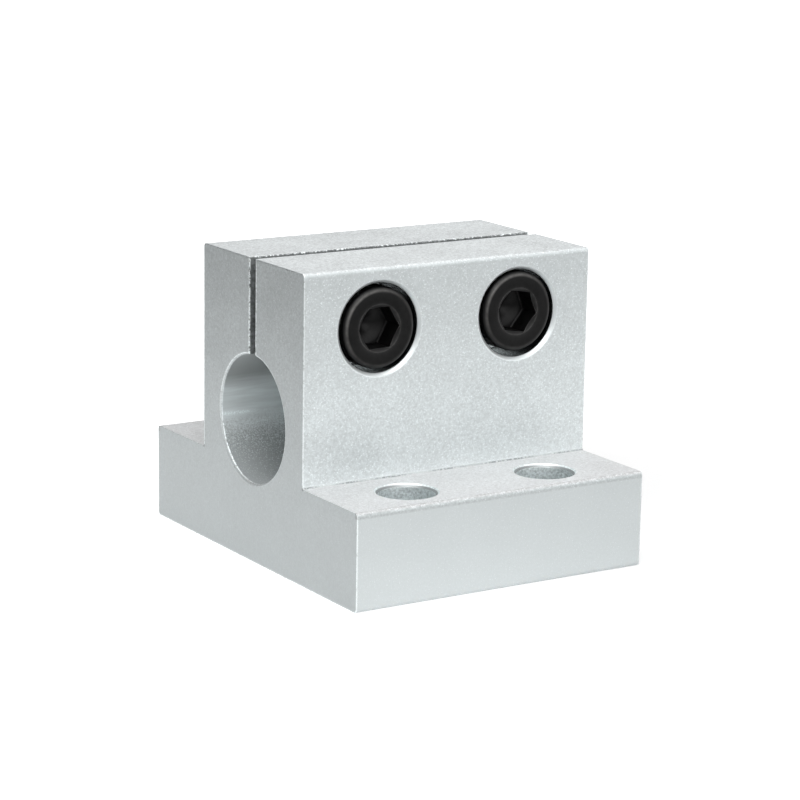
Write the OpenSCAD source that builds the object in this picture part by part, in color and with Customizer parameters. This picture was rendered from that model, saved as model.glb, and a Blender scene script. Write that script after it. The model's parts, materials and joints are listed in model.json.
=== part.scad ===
// Shaft support block
//
// A T-shaped block, machined from aluminium bar, that holds a round shaft above
// a base plate. Four bolts go down through its two flanges. The top is split
// into two jaws by a slit, and two socket head cap screws pull the jaws
// together so that the bore grips the shaft.
//
// +X runs along the shaft. The clamp screws go in from the -Y side. +Z is up,
// and the origin is the middle of the underside. All sizes are in millimetres.

/* [Shaft bore] */
// Diameter of the shaft that the bore takes
bore_d = 16; // [12:0.5:20]
// Height of the shaft's axis above the underside
bore_h = 18; // [17:0.5:24]
// Chamfer at each end of the bore
bore_chamfer = 0.2; // [0.1:0.05:0.5]

/* [Block] */
// Length of the block along the shaft
block_len = 41; // [38:0.5:60]
// Wall on each side of the bore, at its widest
bore_wall = 4.4; // [4.4:0.1:8]
// How far each flange reaches out beyond the clamp body
flange_reach = 12.6; // [12:0.2:20]
// Thickness of the flanges
flange_t = 12; // [8:0.5:14]
// Metal above the clamp screws' axes
jaw_top = 7.4; // [7:0.1:12]
// Width of the slit between the jaws
slit_w = 1.6; // [1:0.1:2.5]
// Radius on the outer edges of the section
edge_r = 0.5; // [0.2:0.1:1]
// Radius in the corner where a flange meets the clamp body
root_r = 0.3; // [0.1:0.1:1]

/* [Mounting holes] */
// Diameter of the holes in the flanges
mount_hole_d = 7; // [5.5:0.1:8]
// Distance between the holes along the shaft
mount_pitch = 20; // [16:0.5:26]
// Distance from a hole's centre to the flange's outer edge
mount_edge = 6; // [5:0.1:7.5]
// Chamfer at the mouths of the mounting holes
mount_chamfer = 0.4; // [0.2:0.1:0.8]

/* [Clamp screws] */
// Thread diameter of the clamp screws
screw_d = 6; // [5:0.5:6]
// How far the tip of a screw stops short of the far side face
tip_gap = 2.8; // [0:0.1:4]
// Distance between the two screws along the shaft
screw_pitch = 20; // [16:0.5:24]
// Diameter of the screw head
head_d = 10; // [9:0.5:10.5]
// Height of the screw head
head_h = 6; // [5:0.5:6.5]
// Chamfer round the top of the head
head_chamfer = 0.5; // [0.2:0.1:0.8]
// Chamfer at the tip of the screw
tip_chamfer = 0.7; // [0.3:0.1:1]
// Size of the hexagon key, across its flats
key_size = 5; // [4:0.5:5]
// Depth of the key socket to the end of its flats
key_depth = 3; // [2:0.5:3.5]

/* [Fits] */
// Metal between the bore and the screws' clearance holes
screw_web = 1.3; // [1:0.1:3]
// Gap all round a screw head in its counterbore
head_gap = 0.5; // [0.3:0.05:0.8]
// Depth of the head's top below the side face
head_sink = 0; // [0:0.1:1]
// Gap all round a screw in its clearance hole
shank_gap = 0.3; // [0.2:0.05:0.5]
// Running gap all round a screw in its tapped hole
thread_gap = 0.05; // [0.02:0.01:0.1]
// Chamfer at the mouths of the counterbores and tapped holes
hole_chamfer = 0.4; // [0.2:0.1:0.6]

/* [Hidden] */
$fn = 96;
eps = 0.01;

// Overall sizes that follow from the ones above
body_w = bore_d + 2 * bore_wall;
block_w = body_w + 2 * flange_reach;
clear_d = screw_d + 2 * shank_gap;
screw_h = bore_h + bore_d / 2 + screw_web + clear_d / 2;
block_h = screw_h + jaw_top;

// Holes for the clamp screws
cbore_d = head_d + 2 * head_gap;
cbore_depth = head_h + head_sink;
tap_d = screw_d + 2 * thread_gap;
seat_y = -body_w / 2 + cbore_depth;
screw_len = body_w / 2 - tip_gap - seat_y;

// Key socket: distance across its corners, and the cones at its floor and mouth
key_corners = key_size / cos(30);
drill_cone = key_size / 2 * tan(30);
key_mouth = 0.15;

// Each screw as it was left: how far its socket is turned from level, and how
// much of the play in its clearance hole it takes up, upwards
screw_turn = [3, -9];
screw_lift = [0, 0.8 * shank_gap];
left = 0;
right = 1;

function screw_x(i) = (i - 0.5) * screw_pitch;

// What a radius r takes off the corner of a square that starts at the origin
module corner_waste(r) {
    difference() {
        translate([-eps, -eps]) square(r + eps);
        translate([r, r]) circle(r);
    }
}

// A rectangle from (y0, z0) to (y1, z1) with all four corners rounded by r
module round_plate(y0, z0, y1, z1, r) {
    difference() {
        translate([y0, z0]) square([y1 - y0, z1 - z0]);
        translate([y0, z0]) corner_waste(r);
        translate([y1, z0]) mirror([1, 0]) corner_waste(r);
        translate([y0, z1]) mirror([0, 1]) corner_waste(r);
        translate([y1, z1]) mirror([1, 0]) mirror([0, 1]) corner_waste(r);
    }
}

// The T-shaped section: flanges, clamp body and the radius where they meet
module section() {
    round_plate(-block_w / 2, 0, block_w / 2, flange_t, edge_r);
    round_plate(-body_w / 2, flange_t / 2, body_w / 2, block_h, edge_r);
    for (side = [0, 1]) mirror([side, 0])
        translate([body_w / 2, flange_t]) corner_waste(root_r);
}

// A round hole from depth 0 down to -depth along Z, chamfered at its mouth
module drilled(d, depth, chamfer) {
    translate([0, 0, -depth]) cylinder(d = d, h = depth + eps);
    translate([0, 0, -chamfer])
        cylinder(d1 = d, d2 = d + 2 * (chamfer + eps), h = chamfer + eps);
}

// Turns a shape made along Z so that it points out along +X or -Y
module along_x() { rotate([0, 90, 0]) children(); }
module along_minus_y() { rotate([90, 0, 0]) children(); }

// The bore through the whole length, chamfered at both ends
module shaft_bore() {
    for (end = [0, 1]) mirror([end, 0, 0])
        translate([block_len / 2, 0, bore_h]) along_x()
            drilled(bore_d, block_len / 2 + eps, bore_chamfer);
}

// The slit that runs from the bore out through the top
module slit() {
    translate([-block_len / 2 - eps, -slit_w / 2, bore_h])
        cube([block_len + 2 * eps, slit_w, block_h - bore_h + eps]);
}

// One mounting hole through a flange, chamfered at both ends
module mount_hole() {
    translate([0, 0, flange_t]) drilled(mount_hole_d, flange_t + eps, mount_chamfer);
    mirror([0, 0, 1]) drilled(mount_hole_d, eps, mount_chamfer);
}

// Counterbore and clearance hole in the near jaw, tapped hole in the far jaw
module screw_hole(i) {
    translate([screw_x(i), -body_w / 2, screw_h]) along_minus_y() {
        drilled(cbore_d, cbore_depth, hole_chamfer);
        translate([0, 0, -body_w / 2]) cylinder(d = clear_d, h = body_w / 2);
    }
    translate([screw_x(i), body_w / 2, screw_h + screw_lift[i]]) rotate([-90, 0, 0])
        drilled(tap_d, body_w / 2, hole_chamfer);
}

module support_block() {
    color("#cdd3d4") difference() {
        translate([-block_len / 2, 0, 0]) rotate([90, 0, 90])
            linear_extrude(block_len) section();
        shaft_bore();
        slit();
        for (x = [-1, 1], y = [-1, 1])
            translate([x * mount_pitch / 2, y * (block_w / 2 - mount_edge), 0]) mount_hole();
        for (i = [left, right]) screw_hole(i);
    }
}

// A socket head cap screw: the seat under its head is at the origin, its head
// stands up along +Z, and its socket has two corners on the X axis
module cap_screw() {
    difference() {
        rotate_extrude() polygon([
            [0, -screw_len],
            [screw_d / 2 - tip_chamfer, -screw_len],
            [screw_d / 2, tip_chamfer - screw_len],
            [screw_d / 2, 0],
            [head_d / 2, 0],
            [head_d / 2, head_h - head_chamfer],
            [head_d / 2 - head_chamfer, head_h],
            [0, head_h]
        ]);
        translate([0, 0, head_h - key_depth])
            cylinder(d = key_corners, h = key_depth + eps, $fn = 6);
        translate([0, 0, head_h - key_depth - drill_cone])
            cylinder(d1 = 0, d2 = key_size, h = drill_cone + eps);
        translate([0, 0, head_h - key_mouth])
            cylinder(d1 = key_corners - key_mouth, d2 = key_corners + key_mouth + eps,
                     h = key_mouth + eps);
    }
}

// Screw i on its seat in the block
module fitted_screw(i) {
    translate([screw_x(i), seat_y, screw_h + screw_lift[i]]) along_minus_y()
        rotate(screw_turn[i]) cap_screw();
}

module clamp_screw_left() { color("#2b2c2e") fitted_screw(left); }
module clamp_screw_right() { color("#2b2c2e") fitted_screw(right); }

support_block();
clamp_screw_left();
clamp_screw_right();
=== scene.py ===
# %% [markdown]
# # A shaft support block
#
# The part is a small T-shaped aluminium block that holds a round steel shaft
# above a machine's base plate. A slit splits its top into two jaws, and two
# black cap screws pull the jaws together on the shaft.
#
# The solid model comes ready from the CAD step, at its real size and in its
# real place. It is the frame here: nothing in it is moved or resized. What is
# left for this script is what CAD does not hold, which is the finish of each
# surface, the screw threads, the knurling and the light.

# %% Load the frame
import json
import math
from types import SimpleNamespace

import bpy
from mathutils import Matrix, Vector


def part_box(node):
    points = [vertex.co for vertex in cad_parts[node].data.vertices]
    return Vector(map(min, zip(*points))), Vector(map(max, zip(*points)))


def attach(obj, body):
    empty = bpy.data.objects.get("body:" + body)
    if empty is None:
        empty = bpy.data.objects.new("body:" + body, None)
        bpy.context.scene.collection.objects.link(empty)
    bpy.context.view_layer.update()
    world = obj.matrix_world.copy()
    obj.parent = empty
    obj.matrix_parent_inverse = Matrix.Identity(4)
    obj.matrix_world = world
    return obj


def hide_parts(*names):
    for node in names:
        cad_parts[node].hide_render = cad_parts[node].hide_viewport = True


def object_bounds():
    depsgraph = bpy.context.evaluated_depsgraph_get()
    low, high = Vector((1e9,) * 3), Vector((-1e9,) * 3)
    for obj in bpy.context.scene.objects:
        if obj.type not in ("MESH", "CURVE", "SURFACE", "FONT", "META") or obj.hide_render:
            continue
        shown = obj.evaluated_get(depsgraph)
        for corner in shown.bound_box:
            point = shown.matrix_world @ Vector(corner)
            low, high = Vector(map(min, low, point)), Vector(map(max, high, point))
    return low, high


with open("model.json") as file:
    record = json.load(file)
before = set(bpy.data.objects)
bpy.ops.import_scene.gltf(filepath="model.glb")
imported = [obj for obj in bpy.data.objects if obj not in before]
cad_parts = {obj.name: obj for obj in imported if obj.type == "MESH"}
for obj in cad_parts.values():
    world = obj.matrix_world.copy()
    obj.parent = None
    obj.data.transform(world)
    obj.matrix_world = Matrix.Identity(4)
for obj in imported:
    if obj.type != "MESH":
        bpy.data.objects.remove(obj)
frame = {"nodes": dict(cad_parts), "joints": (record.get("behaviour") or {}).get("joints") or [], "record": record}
cad_low, cad_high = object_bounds()
print("nodes:", sorted(frame["nodes"]))
print("size in mm:", [round(1000 * side, 2) for side in cad_high - cad_low])

# %% [markdown]
# ## Sizes that the frame already knows
#
# Every place below is read from the frame: the mounts say where the bore and
# the mounting holes are, the joints say where the screws' axes are, and the
# boxes of the nodes give lengths. A size typed twice would drift apart the
# first time someone changes the CAD model.

# %% Read the bore, the holes and the screw axes
MM = 0.001
mounts = {mount["name"]: mount for mount in frame["record"]["mounts"]}
bore_radius = mounts["shaft_bore"]["dims"]["r_mm"] * MM
bore_height = mounts["shaft_bore"]["pos_m"][2]
mount_holes = mounts["mounting_holes"]["dims"]
mount_radius = mount_holes["hole_r_mm"] * MM
mount_x = mount_holes["spacing_x_mm"] * MM / 2
mount_y = mount_holes["spacing_y_mm"] * MM / 2
screw_axis = {joint["child"]: Vector(joint["pos_m"]) for joint in frame["joints"]}
block_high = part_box("support_block")[1]
for body, axis in screw_axis.items():
    print(body, "turns about", [round(1000 * c, 2) for c in axis], "mm")

# %% [markdown]
# ## The camera
#
# A product shot of a small part is taken with a long lens from about a third
# of a metre, a little above the part, so its upright edges stay nearly
# parallel. The camera is placed by an azimuth and an elevation round the part,
# like a tripod walked round a table, because two angles are easier to judge
# than three coordinates. The small roll is that of a tripod head that is not
# quite level.

# %% Place the camera
scene = bpy.context.scene
middle = (cad_low + cad_high) / 2


def direction(azimuth, elevation):
    """The unit vector from the part towards a point at these two angles, in degrees."""
    a, e = math.radians(azimuth), math.radians(elevation)
    return Vector((math.sin(a) * math.cos(e), -math.cos(a) * math.cos(e), math.sin(e)))


CAMERA_AZIMUTH, CAMERA_ELEVATION, CAMERA_ROLL = -32.32, 12.96, 0.94
CAMERA_DISTANCE = 343.6 * MM
CAMERA_LENS, CAMERA_FILM = 122.4, 36
AIM_OFFSET = Vector((0.87, 0.02, -0.90)) * MM
aim = middle + AIM_OFFSET
lens = bpy.data.cameras.new("camera")
lens.sensor_width = CAMERA_FILM
lens.lens = CAMERA_LENS
lens.clip_start = 0.01
camera = bpy.data.objects.new("camera", lens)
scene.collection.objects.link(camera)
away = direction(CAMERA_AZIMUTH, CAMERA_ELEVATION)
tripod = away.to_track_quat("Z", "Y").to_matrix().to_4x4()
camera.matrix_world = (
    Matrix.Translation(aim + away * CAMERA_DISTANCE)
    @ tripod
    @ Matrix.Rotation(math.radians(CAMERA_ROLL), 4, "Z")
)
scene.camera = camera
print("camera", round(CAMERA_DISTANCE, 3), "m away, lens", CAMERA_LENS, "mm")

# %% [markdown]
# ## Small helpers for shader nodes
#
# Materials here are drawn with nodes, and a graph of nodes written out link by
# link is hard to read. Three helpers keep it short: one makes an empty
# material, one adds a node and plugs things into it, and one writes a formula
# as a chain of Math nodes.

# %% Helpers for shader nodes
def new_tree(material):
    """Empties a material's or a world's node tree, and returns it."""
    material.use_nodes = True
    material.node_tree.nodes.clear()
    return material.node_tree


def add(tree, kind, settings=None, **sockets):
    """Adds a node. settings are its properties, and sockets its inputs: values or outputs."""
    made = tree.nodes.new("ShaderNode" + kind)
    for name, value in (settings or {}).items():
        setattr(made, name, value)
    for name, value in sockets.items():
        plug(tree, made, name.replace("_", " "), value)
    return made


def plug(tree, made, socket, value):
    """Sets an input of a node, or links an output into it."""
    target = made.inputs[socket]
    if isinstance(value, bpy.types.NodeSocket):
        tree.links.new(value, target)
    else:
        target.default_value = value


def calc(tree, operation, *terms):
    """One Math node, as the output of operation on one to three terms."""
    made = tree.nodes.new("ShaderNodeMath")
    made.operation = operation
    for socket, term in zip(made.inputs, terms):
        if isinstance(term, bpy.types.NodeSocket):
            tree.links.new(term, socket)
        else:
            socket.default_value = term
    return made.outputs[0]


def mix(tree, share, first, second, kind="RGBA"):
    """First where share is 0, second where it is 1, for colours (RGBA) or numbers (FLOAT)."""
    made = tree.nodes.new("ShaderNodeMix")
    made.data_type = kind
    by_kind = {"RGBA": (0, 6, 7, 2), "FLOAT": (0, 2, 3, 0)}
    at_share, at_first, at_second, at_result = by_kind[kind]
    for at, value in ((at_share, share), (at_first, first), (at_second, second)):
        if isinstance(value, bpy.types.NodeSocket):
            tree.links.new(value, made.inputs[at])
        else:
            made.inputs[at].default_value = value
    return made.outputs[at_result]


def grey(level, blue=1.0):
    """A grey of this linear level, a touch cooler where blue is over 1."""
    return (level * (2 - blue), level, level * blue, 1.0)


# %% [markdown]
# ## The floor and the room
#
# The part stands in a white sweep, lit so evenly that the floor and the wall
# run into one another. Turning the lamps up until the paper goes white would
# also burn out the metal. So the paper gets its last step to white from Light
# Path: rays that come straight from the camera, or by way of a mirror or
# glass, see a little light of the paper's own, and the rays that light the
# part do not. The soft shadow under the block stays.

# %% The floor and the world
PAPER_COLOUR = grey(0.8)
FLOOR_HALF = 4.0
# The pool is a painted pool of light: extra glow on the paper round a point beside the block's left end, which the
# metal's reflections see.
POOL_CENTRE, POOL_GLOW, POOL_EDGE = (-0.045, 0.0, 0.0), 0.46, 0.10
FAR_LIFT, FAR_STARTS, FAR_ENDS = 1.0, 0.035, 0.15
FILL = 0.3


def seen_directly(tree):
    """1 for rays from the camera, or by way of gloss or glass, and 0 for light on things."""
    path = tree.nodes.new("ShaderNodeLightPath")
    glass = path.outputs["Is Transmission Ray"]
    gloss = calc(tree, "MAXIMUM", path.outputs["Is Glossy Ray"], glass)
    return calc(tree, "MAXIMUM", path.outputs["Is Camera Ray"], gloss)


def make_floor():
    half = FLOOR_HALF
    corners = [(-half, -half, 0), (half, -half, 0), (half, half, 0), (-half, half, 0)]
    sheet = bpy.data.meshes.new("paper_floor")
    sheet.from_pydata(corners, [], [(0, 1, 2, 3)])
    floor = bpy.data.objects.new("paper_floor", sheet)
    scene.collection.objects.link(floor)
    paper = bpy.data.materials.new("white_paper")
    tree = new_tree(paper)
    diffuse = add(tree, "BsdfDiffuse", Color=PAPER_COLOUR)
    place = add(tree, "TexCoord").outputs["Object"]
    distance = add(tree, "VectorMath", {"operation": "LENGTH"}, Vector=place).outputs["Value"]
    from_pool = tree.nodes.new("ShaderNodeVectorMath")
    from_pool.operation = "DISTANCE"
    tree.links.new(place, from_pool.inputs[0])
    from_pool.inputs[1].default_value = POOL_CENTRE
    far = add(tree, "MapRange", Value=distance, From_Min=FAR_STARTS, From_Max=FAR_ENDS,
              To_Min=0.0, To_Max=FAR_LIFT).outputs["Result"]
    near = add(tree, "MapRange", Value=from_pool.outputs["Value"], From_Min=POOL_EDGE / 2,
               From_Max=POOL_EDGE, To_Min=POOL_GLOW, To_Max=0.0).outputs["Result"]
    lift = calc(tree, "MULTIPLY", seen_directly(tree), calc(tree, "ADD", near, far))
    glow = add(tree, "Emission", Color=grey(1.0), Strength=lift)
    both = tree.nodes.new("ShaderNodeAddShader")
    tree.links.new(diffuse.outputs[0], both.inputs[0])
    tree.links.new(glow.outputs[0], both.inputs[1])
    add(tree, "OutputMaterial", Surface=both.outputs[0])
    sheet.materials.append(paper)
    return floor


def make_room():
    room = bpy.data.worlds.new("white_room")
    scene.world = room
    tree = new_tree(room)
    strength = mix(tree, seen_directly(tree), FILL, 1.0, "FLOAT")
    light = add(tree, "Background", Color=grey(1.0), Strength=strength)
    add(tree, "OutputWorld", Surface=light.outputs[0])


make_floor()
make_room()
scene.view_settings.view_transform = "Standard"
print("floor and room made")

# %% [markdown]
# ## The lamps and the cards
#
# Matt metal has no colour of its own to speak of: it shows whatever stands
# round it, blurred. So its shape is drawn by a difference in what each face
# looks at. One large softbox stands overhead, a key light stands high on the
# left and a broad low one stands to the front right. Dark and grey cards stand
# where a face would otherwise see only white paper: two on the left for the
# end face, one behind for the tops, and two flat on the floor, which the
# upright faces mirror. Photographers call a dark card a flag. The cards show
# in reflections only.

# %% A softbox
def softbox(name, azimuth, elevation, distance, side, radiance):
    """A square lamp that faces the part. Its power follows from how bright it looks."""
    lamp = bpy.data.lights.new(name, "AREA")
    lamp.shape = "SQUARE"
    lamp.size = side
    lamp.energy = 4 * radiance * side * side
    box = bpy.data.objects.new(name, lamp)
    towards = direction(azimuth, elevation)
    box.matrix_world = (
        Matrix.Translation(middle + towards * distance)
        @ towards.to_track_quat("Z", "Y").to_matrix().to_4x4()
    )
    scene.collection.objects.link(box)
    return box


softbox("softbox_overhead", azimuth=0, elevation=88, distance=0.6, side=0.42, radiance=2.1)
softbox("softbox_key", azimuth=-42, elevation=55, distance=0.6, side=0.40, radiance=3.0)
softbox("softbox_right", azimuth=22, elevation=18, distance=0.6, side=0.55, radiance=0.92)


# %% Grey cards
def grey_card(name, at, facing, width, height, level):
    """A card of this grey that only reflections show: camera and shadows pass it by."""
    outline = [(-width / 2, -height / 2, 0), (width / 2, -height / 2, 0),
               (width / 2, height / 2, 0), (-width / 2, height / 2, 0)]
    sheet = bpy.data.meshes.new(name)
    sheet.from_pydata(outline, [], [(0, 1, 2, 3)])
    card = bpy.data.objects.new(name, sheet)
    turned = facing.to_track_quat("Z", "Y").to_matrix().to_4x4()
    card.matrix_world = Matrix.Translation(at) @ turned
    scene.collection.objects.link(card)
    paint = bpy.data.materials.new(name)
    tree = new_tree(paint)
    glow = add(tree, "Emission", Color=grey(level), Strength=1.0)
    add(tree, "OutputMaterial", Surface=glow.outputs[0])
    sheet.materials.append(paint)
    card.visible_camera = False
    card.visible_diffuse = False
    card.visible_shadow = False
    return card


def standing_card(name, azimuth, elevation, distance, width, height, level):
    """A grey card that stands at these angles round the part and faces it."""
    towards = direction(azimuth, elevation)
    return grey_card(name, middle + towards * distance, towards, width, height, level)


def lying_card(name, x, y, width, height, level):
    """A grey card that lies on the floor, a millimetre up so that it clears the paper."""
    return grey_card(name, Vector((x, y, 1 * MM)), Vector((0, 0, 1)), width, height, level)


standing_card("flag_left", azimuth=-95, elevation=20, distance=0.20,
              width=0.26, height=0.18, level=0.05)
standing_card("flag_left_back", azimuth=-150, elevation=20, distance=0.20,
              width=0.26, height=0.16, level=0.05)
standing_card("card_back", azimuth=148, elevation=15, distance=0.30,
              width=0.42, height=0.17, level=0.22)
lying_card("sheet_front", x=0.05, y=-0.20, width=0.40, height=0.26, level=0.02)
lying_card("sheet_left", x=-0.21, y=0.06, width=0.24, height=0.40, level=0.32)

# %% [markdown]
# ## The block's finish
#
# The bar was blasted with fine glass beads and anodised clear. That leaves a
# cool grey, evenly matt skin with a grain of about a quarter of a millimetre,
# and here and there a facet that catches the light. The holes were drilled and
# counterbored with sharp tools, so their walls and chamfers are smoother and
# brighter, with fine rings left by the tool.
#
# One material covers both. The shader knows each hole's axis and radius, and
# works out from a point's own place in the block whether a tool has been there.
# Splitting the mesh would do it too, but the CAD mesh stays as it is.

# %% Sizes round the holes
HOLE_CHAMFER = 0.4 * MM
HEAD_GAP = 0.5 * MM
CLEARANCE = 0.3 * MM
THREAD_GAP = 0.05 * MM
HALF_SLIT = 0.8 * MM
MASK_MARGIN = 0.03 * MM
left_low, left_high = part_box("clamp_screw_left")
head_radius = (left_high.x - left_low.x) / 2
thread_radius = 3.0 * MM
screw_x = screw_axis["screw_right"].x
screw_z = screw_axis["screw_left"].z
wall_y = -left_low.y
flange_top = 2 * mounts["mounting_holes"]["pos_m"][2]
print("head radius", round(1000 * head_radius, 2), "mm, wall at", round(1000 * wall_y, 2), "mm")


# %% Formulas for the masks
def times(tree, *terms):
    """The product of two or more terms, as a chain of Math nodes."""
    product = terms[0]
    for term in terms[1:]:
        product = calc(tree, "MULTIPLY", product, term)
    return product


def inverse(tree, value):
    """1 where the value is 0, and 0 where it is 1."""
    return calc(tree, "SUBTRACT", 1.0, value)


def away_from(tree, first, second):
    """The distance from an axis, out of the two distances across it."""
    squares = [calc(tree, "MULTIPLY", side, side) for side in (first, second)]
    return calc(tree, "SQRT", calc(tree, "ADD", *squares))


def within(tree, distance, radius):
    """1 where the distance is under the radius."""
    return calc(tree, "LESS_THAN", distance, radius + MASK_MARGIN)


def mirrored(tree, value, offset):
    """How far out from +offset or -offset the value lies, whichever is nearer."""
    return calc(tree, "SUBTRACT", calc(tree, "ABSOLUTE", value), offset)


# %% Masks for the machined surfaces
def mark_holes(tree, at):
    """Adds to at a mask for the walls and chamfers of each kind of hole, and for the slit."""
    above_axis = calc(tree, "SUBTRACT", at.z, bore_height)
    mount = away_from(tree, mirrored(tree, at.x, mount_x), mirrored(tree, at.y, mount_y))
    screw = away_from(tree, mirrored(tree, at.x, screw_x), calc(tree, "SUBTRACT", at.z, screw_z))
    near_jaw = within(tree, screw, head_radius + HEAD_GAP + HOLE_CHAMFER)
    far_jaw = within(tree, screw, thread_radius + CLEARANCE + HOLE_CHAMFER)
    at.in_mount = within(tree, mount, mount_radius + HOLE_CHAMFER)
    in_front = calc(tree, "LESS_THAN", at.y, 0.0)
    at.in_screw_hole = mix(tree, in_front, far_jaw, near_jaw, "FLOAT")
    below_chamfer = calc(tree, "LESS_THAN", at.off_middle, wall_y - HOLE_CHAMFER)
    at.in_screw_wall = times(tree, at.in_screw_hole, below_chamfer)
    at.in_bore = within(tree, away_from(tree, at.y, above_axis), bore_radius)
    above_bore = calc(tree, "GREATER_THAN", above_axis, bore_radius - HALF_SLIT)
    at.in_slit = times(tree, within(tree, at.off_middle, HALF_SLIT), above_bore)
    drilled = calc(tree, "MAXIMUM", at.in_mount, at.in_screw_hole)
    at.machined = calc(tree, "MAXIMUM", drilled, at.in_bore)


# %% [markdown]
# ## Grain, glints and tool marks
#
# Each surface gets its own fine pattern, and all of them start from three
# noises: a grain of blasting dents, a finer one for single facets, and slow
# clouds where the blast was stronger. A tool leaves lines along its way, which
# is the same noise, stretched. The patterns are worked out once and shared, so
# that a dent in the colour is the same dent in the surface.

# %% Noise, ramps and the aluminium's greys
ALUMINIUM_TINT = (0.95, 1.0, 1.008)
GLINT = 1.0
GRAINS_PER_METRE = 3200
CLOUDS_PER_METRE = 160


def tinted(level):
    """The aluminium's cool grey at this level."""
    return tuple(level * channel for channel in ALUMINIUM_TINT) + (1.0,)


def noise(tree, place, scale, detail=2.0, roughness=0.5):
    """Noise from 0 to 1. scale is how many bumps go in a metre, for each of x, y and z."""
    stretched = add(tree, "Mapping", Vector=place, Scale=scale).outputs[0]
    pattern = add(tree, "TexNoise", Vector=stretched, Scale=1.0,
                  Detail=detail, Roughness=roughness)
    return pattern.outputs["Fac"]


def ramp(tree, value, low, high, first=0.0, second=1.0):
    """first where the value is under low, second where it is over high, and a blend between."""
    return add(tree, "MapRange", Value=value, From_Min=low, From_Max=high,
               To_Min=first, To_Max=second).outputs["Result"]


def edge_mask(tree, rounded):
    """1 where the rounded normal leaves the true one, which is along the edges."""
    true = add(tree, "NewGeometry").outputs["True Normal"]
    dot = tree.nodes.new("ShaderNodeVectorMath")
    dot.operation = "DOT_PRODUCT"
    tree.links.new(rounded, dot.inputs[0])
    tree.links.new(true, dot.inputs[1])
    return ramp(tree, dot.outputs["Value"], 0.998, 0.94)


# %% Where a point lies and which way it faces
SIDEWAYS, UPWARD = (0.6, 0.9), (0.5, 0.9)
NEAR_FLANGE_TOP = (0.8 * MM, 0.6 * MM)
ON_FLANGE_TOP = (1.0 * MM, 0.5 * MM)


def survey(tree):
    """The places, directions, patterns and masks that all of the block's finishes share."""
    at = SimpleNamespace()
    at.place = add(tree, "TexCoord").outputs["Object"]
    at.x, at.y, at.z = add(tree, "SeparateXYZ", Vector=at.place).outputs
    at.along = calc(tree, "ABSOLUTE", at.x)
    at.off_middle = calc(tree, "ABSOLUTE", at.y)
    at.above_flange = calc(tree, "SUBTRACT", at.z, flange_top)
    at.above_axis = calc(tree, "SUBTRACT", at.z, bore_height)
    at.grain = noise(tree, at.place, (GRAINS_PER_METRE,) * 3, 3.0, 0.65)
    at.fine = noise(tree, at.place, (2 * GRAINS_PER_METRE,) * 3, 1.0)
    at.cloud = noise(tree, at.place, (CLOUDS_PER_METRE,) * 3)
    facing = add(tree, "NewGeometry").outputs["True Normal"]
    _, facing_y, at.facing_z = add(tree, "SeparateXYZ", Vector=facing).outputs
    at.on_side = ramp(tree, calc(tree, "ABSOLUTE", facing_y), *SIDEWAYS)
    at.facing_up = ramp(tree, at.facing_z, *UPWARD)
    from_top = calc(tree, "ABSOLUTE", at.above_flange)
    at.near_flange_top = ramp(tree, from_top, *NEAR_FLANGE_TOP)
    at.on_flange_top = times(tree, at.facing_up, ramp(tree, at.above_flange, *ON_FLANGE_TOP))
    at.on_flange_side = times(tree, at.on_side,
                              ramp(tree, at.z, flange_top, flange_top - 0.4 * MM))
    mark_holes(tree, at)
    return at


# %% [markdown]
# ## The blasted skin
#
# The skin is one grey, blended from dark to light by the grain. The tops were
# hit hardest and are coarsest, and the flange's sides are calmer. Over that
# lies painted light and shade by direction and height: the sides and the
# flange's top are painted lighter, the flange's sides darker, and the upright
# faces are painted darker towards the top, the sides most. Each of these is a
# small share of another grey, blended in where a point's height and direction
# say so.

# %% The grain, and the painted light and shade of each face
SKIN_DARK, SKIN_LIGHT = 0.44, 0.78
CLOUD_SHARE = 0.25
WALL_GRAIN, FLANGE_GRAIN, LEDGE_GRAIN = 0.80, 0.40, 0.85
END_GRAIN_LOW, END_GRAIN_HIGH = 0.22, 0.66
EVEN_SPREAD = (0.25, 0.75)
# Painted light on the sides and the flange's top, and painted shade on the flange's sides.
PAINTED_SIDE_LIGHT, PAINTED_FLANGE_SIDE_SHADE, PAINTED_FLANGE_TOP_LIGHT = 0.26, 0.42, 0.16
WARM_TOP = (0.76, 0.62, 0.62, 1.0)
FLANGE_WARMTH, TOP_WARMTH = 0.09, 0.06
# Painted shade: the upright faces are darkened towards the top, from 22 to 35 mm up, the sides more than the ends.
PAINTED_END_SHADE, PAINTED_JAW_SHADE = 0.22, 0.36
PAINTED_SHADE_REACH = (22 * MM, 35 * MM)
LEDGE_Y = block_high.y - 0.5 * MM
# Painted shade: a broken dark line along the flange's top edge, which dims the highlight of its rounding.
PAINTED_ARRIS_SHADE, ARRIS_WIDTH, ARRIS_GRAIN = 0.42, 0.1 * MM, (0.70, 0.30)


def coarseness(tree, at):
    """How strongly the grain shows: full on the tops, calmer on the sides and the ends."""
    end_grain = ramp(tree, at.z, flange_top / 2, 3 * flange_top, END_GRAIN_LOW, END_GRAIN_HIGH)
    side_grain = mix(tree, at.on_flange_side, WALL_GRAIN, FLANGE_GRAIN, "FLOAT")
    upright = mix(tree, at.on_side, end_grain, side_grain, "FLOAT")
    up_grain = mix(tree, at.on_flange_top, 1.0, LEDGE_GRAIN, "FLOAT")
    return mix(tree, at.facing_up, upright, up_grain, "FLOAT")


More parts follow.
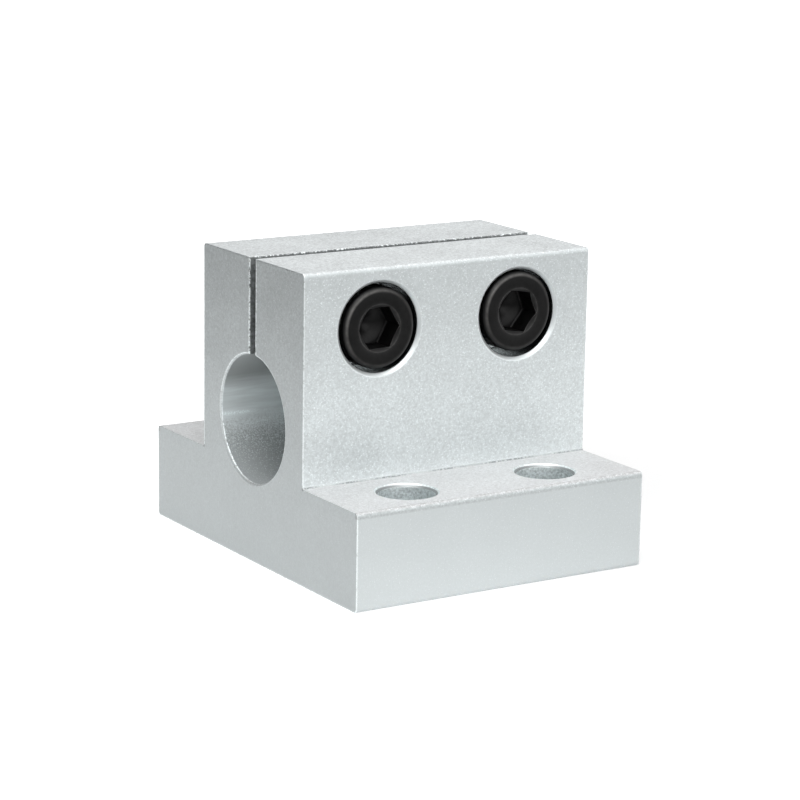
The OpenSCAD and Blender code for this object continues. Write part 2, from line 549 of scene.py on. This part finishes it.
def grained(tree, at, coarse):
    """The skin's grey: the grain with the clouds under it, painted light on the sides and the flange's top, and
    painted shade on the flange's sides.
    """
    clouded = calc(tree, "SUBTRACT", at.cloud, 0.5)
    level = calc(tree, "MULTIPLY_ADD", clouded, CLOUD_SHARE, at.grain)
    level = calc(tree, "MULTIPLY_ADD", calc(tree, "SUBTRACT", level, 0.5), coarse, 0.5)
    skin = mix(tree, ramp(tree, level, *EVEN_SPREAD), tinted(SKIN_DARK), tinted(SKIN_LIGHT))
    painted_light_and_shade = ((at.on_side, PAINTED_SIDE_LIGHT, SKIN_LIGHT),
              (at.on_flange_side, PAINTED_FLANGE_SIDE_SHADE, SKIN_DARK),
              (at.on_flange_top, PAINTED_FLANGE_TOP_LIGHT, SKIN_LIGHT))
    for where, share, shade in painted_light_and_shade:
        skin = mix(tree, times(tree, where, share), skin, tinted(shade))
    return skin


def shaded(tree, at, skin):
    """Painted shade on the flange's arris, the warmer tops, and painted shade on the upright faces towards the
    top.
    """
    at_arris = ramp(tree, at.off_middle, LEDGE_Y - ARRIS_WIDTH, LEDGE_Y)
    arris = times(tree, at.near_flange_top, at_arris)
    skin = mix(tree, times(tree, arris, ramp(tree, at.grain, *ARRIS_GRAIN)), skin,
               tinted(PAINTED_ARRIS_SHADE))
    warmth = calc(tree, "MULTIPLY_ADD", at.on_flange_top, FLANGE_WARMTH,
                  times(tree, at.facing_up, TOP_WARMTH))
    skin = mix(tree, warmth, skin, WARM_TOP)
    painted_side_shade = mix(tree, at.on_side, PAINTED_END_SHADE, PAINTED_JAW_SHADE, "FLOAT")
    upright_share = mix(tree, at.facing_up, painted_side_shade, 0.0, "FLOAT")
    painted_top_shade = times(tree, upright_share, ramp(tree, at.z, *PAINTED_SHADE_REACH))
    return mix(tree, painted_top_shade, skin, tinted(SKIN_DARK))


# %% [markdown]
# ## Worn edges, burrs, painted highlights and painted shade
#
# Handling wears the sharp edges to a broken bright line, and the saw that cut
# the slit threw up a fine burr. The edges' bright line is partly wear and partly
# painted highlight, the burr gets a painted highlight, and single facets of the
# grain get painted glints. In the root between flange and wall lies a thin
# broken line of painted shade. The Bevel node finds the edges: it rounds the
# normal there without changing the mesh. The flange's top edge is crisper than
# the rest, so it gets less.

# %% Edges, painted glints and painted shade in the root
EDGE_RADIUS, LEDGE_RADIUS = 0.30 * MM, 0.07 * MM
OUT_ON_LEDGE = (0.6 * MM, 0.9 * MM)
# Painted highlights: glints on single facets of the grain, and the bright line on worn edges and on the slit's
# burr.
GLINT_FACETS, GLINT_STRENGTH = (0.64, 0.72), 0.45
EDGE_GRAIN, EDGE_STRENGTH = (0.32, 0.46), 0.7
BURR_REACH, BURR_GRAIN = (HALF_SLIT + 0.25 * MM, HALF_SLIT + 0.10 * MM), (0.40, 0.55)
# Painted shade: a thin broken dark line in the root between the flange and the wall.
PAINTED_ROOT_SHADE, ROOT_LINE = 0.28, (0.15 * MM, 0.24 * MM)
ROOT_SHADE_GRAIN, ROOT_SHADE_CLOUD = (0.38, 0.52), (0.38, 0.58, 0.3, 1.0)


def rounded_normal(tree, at):
    """The normal with its edges rounded, tighter on the flange's top edge."""
    outside_wall = calc(tree, "SUBTRACT", at.off_middle, wall_y)
    on_ledge = times(tree, at.near_flange_top, ramp(tree, outside_wall, *OUT_ON_LEDGE))
    edge_radius = mix(tree, on_ledge, EDGE_RADIUS, LEDGE_RADIUS, "FLOAT")
    return add(tree, "Bevel", {"samples": 8}, Radius=edge_radius).outputs["Normal"]


def bright_spots(tree, at, coarse, off_root):
    """1 on worn edges and on the slit's burr, and a part of it on the glints. All are painted highlights, and the
    edges are partly wear.
    """
    glints = times(tree, ramp(tree, at.fine, *GLINT_FACETS), coarse)
    edges = times(tree, edge_mask(tree, at.rounded), ramp(tree, at.grain, *EDGE_GRAIN))
    edges = times(tree, edges, times(tree, off_root, EDGE_STRENGTH))
    burr = times(tree, ramp(tree, at.off_middle, *BURR_REACH),
                 calc(tree, "GREATER_THAN", at.z, bore_height + bore_radius),
                 ramp(tree, at.grain, *BURR_GRAIN), inverse(tree, at.in_slit))
    lines = calc(tree, "MAXIMUM", edges, burr)
    return calc(tree, "MAXIMUM", times(tree, glints, GLINT_STRENGTH), lines)


def blasted_skin(tree, at):
    """The colour of the blasted skin. at.bright keeps where it is painted bright: worn edges, the burr and glints.
    """
    coarse = coarseness(tree, at)
    skin = shaded(tree, at, grained(tree, at, coarse))
    from_root = away_from(tree, mirrored(tree, at.y, wall_y), at.above_flange)
    off_root = ramp(tree, from_root, *ROOT_LINE)
    at.bright = bright_spots(tree, at, coarse, off_root)
    skin = mix(tree, at.bright, skin, tinted(GLINT))
    crease_shade = times(tree, inverse(tree, off_root), ramp(tree, at.grain, *ROOT_SHADE_GRAIN))
    crease_shade = times(tree, crease_shade, ramp(tree, at.cloud, *ROOT_SHADE_CLOUD))
    return mix(tree, crease_shade, skin, tinted(PAINTED_ROOT_SHADE))


# %% [markdown]
# ## Inside the holes
#
# The mounting holes were drilled, which leaves rings and torn chips, and the
# inner half of their chamfer gets painted shade. The bore was reamed, which
# leaves faint lines along it, and a shaft has worn its lower half to a speckle.
# It gets painted shade above its axis and towards its mouths, and a thin painted
# highlight on the rim of each mouth. The slit was sawn and is the roughest of
# all, with painted highlights as bright specks on its lips.

# %% The mounting holes and the slit
# Painted shade: the inner half of the holes' chamfer, which faces up, is darkened.
MOUNT_DARK, MOUNT_LIGHT, PAINTED_LIP_SHADE = 0.60, 1.0, 0.30
DRILL_RINGS = (700, 700, 5000)
CHIP_GRAIN_SHARE, CHIP_SPREAD = 0.75, (0.38, 0.62)
LIP_FACING, LIP_DEPTH = (0.3, 0.5), (-0.12 * MM, -0.20 * MM)
SAWN_DARK, SAWN_LIGHT = 0.16, 0.40
# Painted highlights: bright specks on the slit's lips, where its walls meet the ends and the top.
SLIT_LIP = (0.20 * MM, 0.10 * MM)
END_LIP_GRAIN, TOP_LIP_GRAIN = (0.40, 0.52), (0.52, 0.62)


def drilled_wall(tree, at):
    """The walls of the mounting holes, with painted shade on the inner half of the chamfer at the top."""
    rings = noise(tree, at.place, DRILL_RINGS)
    chips = calc(tree, "MULTIPLY_ADD", at.grain, CHIP_GRAIN_SHARE,
                 times(tree, rings, 1 - CHIP_GRAIN_SHARE))
    wall = mix(tree, ramp(tree, chips, *CHIP_SPREAD), tinted(MOUNT_DARK), tinted(MOUNT_LIGHT))
    on_lip = times(tree, ramp(tree, at.facing_z, *LIP_FACING),
                   ramp(tree, at.above_flange, *LIP_DEPTH))
    return mix(tree, on_lip, wall, tinted(PAINTED_LIP_SHADE))


def sawn_wall(tree, at):
    """The walls of the slit, with painted highlights as bright specks where they meet the ends and the top."""
    sawn = mix(tree, ramp(tree, at.grain, *EVEN_SPREAD), tinted(SAWN_DARK), tinted(SAWN_LIGHT))
    deep, shallow = SLIT_LIP
    near_end = ramp(tree, at.along, block_high.x - deep, block_high.x - shallow)
    near_top = ramp(tree, at.z, block_high.z - deep, block_high.z - shallow)
    near_end = times(tree, near_end, ramp(tree, at.grain, *END_LIP_GRAIN))
    near_top = times(tree, near_top, ramp(tree, at.grain, *TOP_LIP_GRAIN))
    return mix(tree, calc(tree, "MAXIMUM", near_end, near_top), sawn, tinted(GLINT))


# %% The bore
BORE_DARK, BORE_LIGHT = 0.50, 1.0
REAMER_LINES = (180, 1600, 1600)
WORN_REACH, WORN_RAGGED = (0.0, -5.0 * MM), 3.0 * MM
# Painted shade in the bore: darker above its axis and towards its mouths.
HIGH_REACH, PAINTED_HIGH_SHADE = (2.0 * MM, 5.5 * MM), 1.1
REAMED_SHADES = (0.2, 0.8, 0.84, 1.14)
WORN_SHADES = (0.38, 0.70, -0.40, 0.70)
MOUTH_STARTS, PAINTED_MOUTH_SHADE = 6 * MM, 0.40
STREAK_DROP, STREAK_WIDTH, STREAK_LIGHT = 1.0 * MM, (0.35 * MM, 0.05 * MM), 0.25
STREAK_BREAKS = (0.40, 0.60)
# Painted highlight: a thin broken bright rim at the bore's mouths, brightest below the axis.
RIM_STARTS, RIM_ENDS = 0.30 * MM, 0.18 * MM
RIM_BY_HEIGHT, RIM_GRAIN = (3 * MM, -2 * MM, 0.30, 0.90), (0.40, 0.52)


def worn_streak(tree, at, reamed):
    """A broken bright line along the bore, a little under its axis."""
    off_streak = calc(tree, "ABSOLUTE", calc(tree, "ADD", at.above_axis, STREAK_DROP))
    return times(tree, ramp(tree, off_streak, *STREAK_WIDTH),
                 ramp(tree, reamed, *STREAK_BREAKS), ramp(tree, at.fine, *STREAK_BREAKS))


def reamed_wall(tree, at):
    """The bore: lines along it, speckled below, with painted shade above and towards its mouths, and a painted
    highlight on their rim.
    """
    reamed = noise(tree, at.place, REAMER_LINES, 3.0)
    ragged = calc(tree, "MULTIPLY_ADD", at.grain, WORN_RAGGED, at.above_axis)
    low = ramp(tree, ragged, *WORN_REACH)
    high = ramp(tree, at.above_axis, *HIGH_REACH)
    shade = mix(tree, low, ramp(tree, reamed, *REAMED_SHADES),
                ramp(tree, at.fine, *WORN_SHADES), "FLOAT")
    shade = calc(tree, "SUBTRACT", shade, times(tree, high, PAINTED_HIGH_SHADE))
    near_mouth = ramp(tree, at.along, MOUTH_STARTS, block_high.x)
    shade = calc(tree, "SUBTRACT", shade, times(tree, near_mouth, PAINTED_MOUTH_SHADE))
    shade = calc(tree, "MULTIPLY_ADD", worn_streak(tree, at, reamed), STREAK_LIGHT, shade)
    bore = mix(tree, ramp(tree, shade, 0.0, 1.0), tinted(BORE_DARK), tinted(BORE_LIGHT))
    rim = ramp(tree, at.along, block_high.x - RIM_STARTS, block_high.x - RIM_ENDS)
    at.mouth_rim = times(tree, rim, ramp(tree, at.above_axis, *RIM_BY_HEIGHT),
                         ramp(tree, at.grain, *RIM_GRAIN))
    return mix(tree, at.mouth_rim, bore, tinted(GLINT))


# %% [markdown]
# ## One material out of all of them
#
# Each finish is a colour for the whole block, and the masks choose between
# them. The roughness follows in the same way: a cut wall is smoother than the
# skin, and the spots painted bright, on worn edges, the burr and glints, are
# smoother too. The bore is the exception. It is kept dull, so that it is lit
# from all sides and does not mirror the dark cards.

# %% The block's material
COUNTERBORE, CHAMFER = 0.50, 0.64
SKIN_ROUGHNESS, GRAIN_ROUGHNESS = 0.64, 0.12
BRIGHT_ROUGHNESS, CUT_ROUGHNESS = 0.40, 0.50
BORE_ROUGHNESS, SCREW_WALL_ROUGHNESS = 0.85, 0.25
GRAIN_DEPTH, SMOOTHED_BY_TOOLS = 0.016 * MM, 0.8


def block_colour(tree, at):
    """The skin, with each hole's own finish where its mask says so."""
    screw_hole = mix(tree, at.in_screw_wall, tinted(CHAMFER), tinted(COUNTERBORE))
    colour = mix(tree, at.in_mount, blasted_skin(tree, at), drilled_wall(tree, at))
    colour = mix(tree, at.in_screw_hole, colour, screw_hole)
    colour = mix(tree, at.in_slit, colour, sawn_wall(tree, at))
    return mix(tree, at.in_bore, colour, reamed_wall(tree, at))


def block_roughness(tree, at):
    """How matt each finish is."""
    inside_bore = times(tree, at.in_bore, inverse(tree, at.mouth_rim))
    dull = calc(tree, "MULTIPLY_ADD", at.grain, GRAIN_ROUGHNESS, SKIN_ROUGHNESS)
    dull = mix(tree, at.bright, dull, BRIGHT_ROUGHNESS, "FLOAT")
    dull = mix(tree, at.machined, dull, CUT_ROUGHNESS, "FLOAT")
    dull = mix(tree, inside_bore, dull, BORE_ROUGHNESS, "FLOAT")
    return mix(tree, at.in_screw_wall, dull, SCREW_WALL_ROUGHNESS, "FLOAT")


def block_material():
    metal = bpy.data.materials.new("blasted_aluminium")
    tree = new_tree(metal)
    at = survey(tree)
    at.rounded = rounded_normal(tree, at)
    colour = block_colour(tree, at)
    roughness = block_roughness(tree, at)
    calmer = calc(tree, "MULTIPLY_ADD", at.machined, -SMOOTHED_BY_TOOLS, 1.0)
    bump = add(tree, "Bump", Strength=1.0, Distance=GRAIN_DEPTH,
               Height=times(tree, at.grain, calmer), Normal=at.rounded)
    shader = add(tree, "BsdfPrincipled", Base_Color=colour, Metallic=1.0,
                 Roughness=roughness, Normal=bump.outputs["Normal"])
    add(tree, "OutputMaterial", Surface=shader.outputs["BSDF"])
    return metal


# %% Finish the block
block = frame["nodes"]["support_block"]
aluminium = block_material()
block.data.materials.clear()
block.data.materials.append(aluminium)
print("block finished with", aluminium.name, "of", len(aluminium.node_tree.nodes), "nodes")

# %% [markdown]
# ## Skins made of stacked rings
#
# A screw is round nearly everywhere, but its socket is a hexagon, its head is
# knurled and its shank carries a thread. All of these can be one skin: a stack
# of rings that all have the same number of points, where each point's radius
# may depend on its angle. A modifier stack or a boolean could make each
# feature too, but one skin stays closed and clean, and needs no repair.

# %% A helper that skins rings
RING_POINTS = 144


def ring_angles():
    return [2 * math.pi * i / RING_POINTS for i in range(RING_POINTS)]


def ring(radius, height):
    """One ring. The radius and the height are numbers, or rules that give them at an angle."""
    def value(rule, angle):
        return rule(angle) if callable(rule) else rule
    return [(value(radius, a) * math.cos(a), value(radius, a) * math.sin(a), value(height, a))
            for a in ring_angles()]


def skin(name, rings, joined=False):
    """A mesh through the rings. One point is a tip. joined closes the last ring to the first."""
    points, starts = [], []
    for one in rings:
        starts.append((len(points), len(one)))
        points.extend(one)
    faces = []
    pairs = list(zip(starts, starts[1:])) + ([(starts[-1], starts[0])] if joined else [])
    for (low, low_count), (high, high_count) in pairs:
        for i in range(RING_POINTS):
            j = (i + 1) % RING_POINTS
            if low_count == 1:
                faces.append((low, high + j, high + i))
            elif high_count == 1:
                faces.append((low + i, low + j, high))
            else:
                faces.append((low + i, low + j, high + j, high + i))
    mesh = bpy.data.meshes.new(name)
    mesh.from_pydata(points, [], faces)
    mesh.validate()
    made = bpy.data.objects.new(name, mesh)
    scene.collection.objects.link(made)
    return made


def smooth(made, sharp_over=32):
    """Shades smooth, and keeps edges sharper than this many degrees crisp."""
    made.data.polygons.foreach_set("use_smooth", [True] * len(made.data.polygons))
    made.data.set_sharp_from_angle(angle=math.radians(sharp_over))


# %% [markdown]
# ## The thread
#
# An M6 thread rises one millimetre a turn. In a lathe the tool moves along
# while the bar turns, and the same rule shapes the skin: the depth at a point
# follows from its height less the height that the helix has there. The crests
# and roots are cut flat, as the standard has them.

# %% The thread's profile
PITCH = 1.0 * MM
CREST_SHARE, ROOT_SHARE = 0.125, 0.25


def thread_depth(angle, height):
    """How deep the thread is cut at this place, from 0 on the crest to 1 at the root."""
    turn = (height / PITCH - angle / (2 * math.pi)) % 1.0
    from_crest = min(turn, 1.0 - turn)
    flank = 0.5 - CREST_SHARE / 2 - ROOT_SHARE / 2
    return min(1.0, max(0.0, (from_crest - CREST_SHARE / 2) / flank))


# %% [markdown]
# ## The cap screws
#
# Each clamp screw is an M6 socket head cap screw: a cold-headed blank with a
# knurled side, a hexagon socket pressed into it and a rolled thread. By its
# standard the head is as high as the thread is wide, so the rest of the sizes
# follow from the box of the CAD screw that it stands for.

# %% Sizes of the cap screw
head_height = 2 * thread_radius
shank_length = (left_high.y - left_low.y) - head_height
KEY_SIZE = 5.0 * MM
KEY_DEPTH = 3.0 * MM
THREAD_CUT = 0.613 * MM
TIP_CHAMFER = 0.7 * MM
HEAD_CHAMFER = 0.6 * MM
HEAD_BEND = 0.6 * MM
KNURLS = 36
KNURL_DEPTH = 0.10 * MM
FILLET = 0.25 * MM
RINGS_PER_TURN, RUNOUT_TURNS = 12, 1.2
BEND_STEPS = 10
CHAMFER_SLOPE = math.tan(math.radians(35))
DRILL_SHARE, DRILL_SLOPE = 0.86, math.tan(math.radians(28))
SOCKET_TURN = {"left": 2, "right": -9}
print("shank", round(1000 * shank_length, 2), "mm, head", round(2000 * head_radius, 2), "mm across")


def socket_radius(angle):
    """From the axis to the hexagon socket's wall, which has a corner at each 60 degrees."""
    sixth = math.pi / 3
    return KEY_SIZE / 2 / math.cos((angle % sixth) - sixth / 2)


def threaded_rings():
    """Rings up the shank, from its chamfered tip to the seat under the head."""
    steps = round(shank_length / PITCH * RINGS_PER_TURN)
    runout = RUNOUT_TURNS * PITCH
    rings = []
    for i in range(steps + 1):
        height = -shank_length + shank_length * i / steps
        from_tip = height + shank_length
        chamfered = min(1.0, (thread_radius - TIP_CHAMFER + from_tip) / thread_radius)
        fade = min(1.0, max(0.0, -height - FILLET) / runout)

        def radius(angle, height=height, chamfered=chamfered, fade=fade):
            cut = thread_radius - THREAD_CUT * thread_depth(angle, height) * fade
            return min(cut, chamfered * thread_radius)

        rings.append(ring(radius, height))
    return rings


def head_side_rings():
    """Rings up the knurled side of the head and over its rounded top edge."""
    def knurled(angle):
        return head_radius - KNURL_DEPTH * (0.5 - 0.5 * math.cos(KNURLS * angle))
    rings = [ring(head_radius - 0.25 * MM, 0.0), ring(head_radius - 0.05 * MM, 0.15 * MM),
             ring(head_radius, 0.35 * MM), ring(head_radius, 0.55 * MM),
             ring(knurled, 0.75 * MM), ring(knurled, head_height - HEAD_CHAMFER - 0.5 * MM),
             ring(head_radius, head_height - HEAD_CHAMFER - 0.3 * MM)]
    for i in range(BEND_STEPS + 1):
        a = math.pi / 2 * i / BEND_STEPS
        rings.append(ring(head_radius - HEAD_BEND * (1 - math.cos(a)),
                          head_height - HEAD_CHAMFER * (1 - math.sin(a))))
    return rings


def socket_rings():
    """Rings from the flat top down into the hexagon socket, to the drill point at its floor."""
    mouth = KEY_SIZE / 2 / math.cos(math.pi / 6) + 0.08 * MM

    def lip(angle):
        return head_height - (mouth - socket_radius(angle)) * CHAMFER_SLOPE

    def below(depth):
        return lambda angle: min(lip(angle) - 0.02 * MM, head_height - depth)

    floor = head_height - KEY_DEPTH
    rings = [ring(mouth + 0.05 * MM, head_height), ring(mouth, head_height - 0.01 * MM),
             ring(socket_radius, lip), ring(socket_radius, below(0.6 * MM)),
             ring(socket_radius, floor + 0.15 * MM)]
    rings.append(ring(lambda a: socket_radius(a) - 0.15 * MM, floor))
    drill = KEY_SIZE / 2 * DRILL_SHARE
    point = drill * DRILL_SLOPE
    rings.append(ring(drill, floor - 0.02 * MM))
    rings.append(ring(drill * 0.5, floor - point * 0.5))
    rings.append([(0.0, 0.0, floor - point)])
    return rings


# %% Build and place both screws
def cap_screw(side):
    """One cap screw on its seat in the near jaw, standing for the plain CAD screw."""
    low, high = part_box("clamp_screw_" + side)
    tip = [(0.0, 0.0, -shank_length)]
    rings = [tip] + threaded_rings() + [ring(thread_radius + FILLET, 0.0)]
    rings += head_side_rings() + socket_rings()
    made = skin("cap_screw_" + side, rings)
    smooth(made)
    axis = screw_axis["screw_" + side]
    seat = Vector((axis.x, low.y + head_height, axis.z))
    made.matrix_world = (
        Matrix.Translation(seat)
        @ Matrix.Rotation(math.radians(90), 4, "X")
        @ Matrix.Rotation(math.radians(SOCKET_TURN[side]), 4, "Z")
    )
    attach(made, "screw_" + side)
    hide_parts("clamp_screw_" + side)
    return made


screws = [cap_screw(side) for side in ("left", "right")]
for made in screws:
    print(made.name, len(made.data.polygons), "faces")

# %% [markdown]
# ## Black oxide
#
# The screws are steel that was boiled in a blackening bath and oiled. The skin
# is only a thousandth of a millimetre thick, so it keeps the fine texture of
# the forged steel: almost black, with a soft oily sheen, and a breath lighter
# on worn edges, which also stands in as their painted highlight. The head's rim
# has a faint rubbed ring and a painted highlight, strongest at the upper left.

# %% The screws' material
OXIDE_DARK = (0.001, 0.001, 0.0011, 1.0)
OXIDE_LIGHT = (0.0045, 0.0044, 0.0045, 1.0)
# Partly wear and partly painted highlight: the edges at the head's top, round the socket, are lightened.
WORN_STEEL_AND_HIGHLIGHT = (0.15, 0.148, 0.145, 1.0)
# A faint rubbed ring on the head's rim, and a painted highlight on it that is strongest at the upper left.
RUBBED_RIM_AND_HIGHLIGHT = (0.13, 0.126, 0.122, 1.0)
FORGED_GRAINS, FORGED_CLOUDS = 4000, 900
CLOUD_SPREAD = (0.30, 0.70)
RIM_INSET, RIM_WIDTH = 0.42 * MM, (0.28 * MM, 0.04 * MM)
RUBBED_DEPTH = (0.35 * MM, 0.15 * MM)
SCREW_EDGE = 0.12 * MM
OXIDE_ROUGHNESS, OXIDE_GRAIN_ROUGHNESS = 0.28, 0.2


def rubbed_rim_and_highlight(tree, x, y, cloud):
    """1 on the rim of the head: a faint rubbed ring, with a painted highlight that grows towards the upper left.
    """
    off_rim = calc(tree, "SUBTRACT", away_from(tree, x, y), head_radius - RIM_INSET)
    rim = times(tree, ramp(tree, calc(tree, "ABSOLUTE", off_rim), *RIM_WIDTH),
                ramp(tree, cloud, *CLOUD_SPREAD, 0.5, 1.0))
    to_upper_left = calc(tree, "SUBTRACT", y, x)
    return times(tree, rim, ramp(tree, to_upper_left, 0.0, 1.3 * head_radius, 0.15, 1.0))


def screw_material():
    oxide = bpy.data.materials.new("black_oxide")
    tree = new_tree(oxide)
    place = add(tree, "TexCoord").outputs["Object"]
    fine = noise(tree, place, (FORGED_GRAINS,) * 3, 3.0, 0.6)
    cloud = noise(tree, place, (FORGED_CLOUDS,) * 3, 3.0, 0.6)
    rounded = add(tree, "Bevel", {"samples": 8}, Radius=SCREW_EDGE).outputs["Normal"]
    x, y, z = add(tree, "SeparateXYZ", Vector=place).outputs
    deep, shallow = RUBBED_DEPTH
    near_top = ramp(tree, z, head_height - deep, head_height - shallow)
    worn_and_highlight = times(tree, edge_mask(tree, rounded),
                   ramp(tree, cloud, *CLOUD_SPREAD, 0.3, 1.0), near_top)
    colour = mix(tree, ramp(tree, cloud, *CLOUD_SPREAD), OXIDE_DARK, OXIDE_LIGHT)
    colour = mix(tree, rubbed_rim_and_highlight(tree, x, y, cloud), colour, RUBBED_RIM_AND_HIGHLIGHT)
    colour = mix(tree, worn_and_highlight, colour, WORN_STEEL_AND_HIGHLIGHT)
    roughness = calc(tree, "MULTIPLY_ADD", fine, OXIDE_GRAIN_ROUGHNESS, OXIDE_ROUGHNESS)
    bump = add(tree, "Bump", Strength=0.6, Distance=0.005 * MM, Height=fine, Normal=rounded)
    shader = add(tree, "BsdfPrincipled", Base_Color=colour, Roughness=roughness,
                 Specular_IOR_Level=0.20, Normal=bump.outputs["Normal"])
    add(tree, "OutputMaterial", Surface=shader.outputs["BSDF"])
    return oxide


oxide = screw_material()
for made in screws:
    made.data.materials.append(oxide)
print("screws finished with", oxide.name)

# %% [markdown]
# ## The tapped holes behind
#
# From behind, the block shows the far ends of two tapped holes, with the tips
# of the screws inside. The CAD hole is a plain bore at the thread's outer
# diameter, so the thread is added as a sleeve that lines it: flat against the
# hole outside and a helix inside. It starts just past the screw's tip, so the
# screw can turn freely.

# %% Line the tapped holes with their threads
TAP_WALL = 0.02 * MM
TAP_RINGS = 34
TIP_ROOM, SLEEVE_GAP = 0.05 * MM, 0.005 * MM


def tapped_thread(side):
    low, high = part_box("clamp_screw_" + side)
    axis = screw_axis["screw_" + side]
    start = high.y + TIP_ROOM
    back_face = -low.y
    length = back_face - HOLE_CHAMFER - start
    outside = thread_radius + THREAD_GAP - SLEEVE_GAP
    rings = [ring(outside, 0.0), ring(outside, length)]
    for i in range(TAP_RINGS + 1):
        height = length * (1 - i / TAP_RINGS)

        def radius(angle, height=height):
            return outside - TAP_WALL - THREAD_CUT * (1 - thread_depth(-angle, height))

        rings.append(ring(radius, height))
    made = skin("tapped_thread_" + side, rings, joined=True)
    made.data.flip_normals()
    smooth(made)
    made.matrix_world = (
        Matrix.Translation(Vector((axis.x, start, axis.z)))
        @ Matrix.Rotation(math.radians(-90), 4, "X")
    )
    made.data.materials.append(aluminium)
    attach(made, "block")
    return made


for side in ("left", "right"):
    print(tapped_thread(side).name)
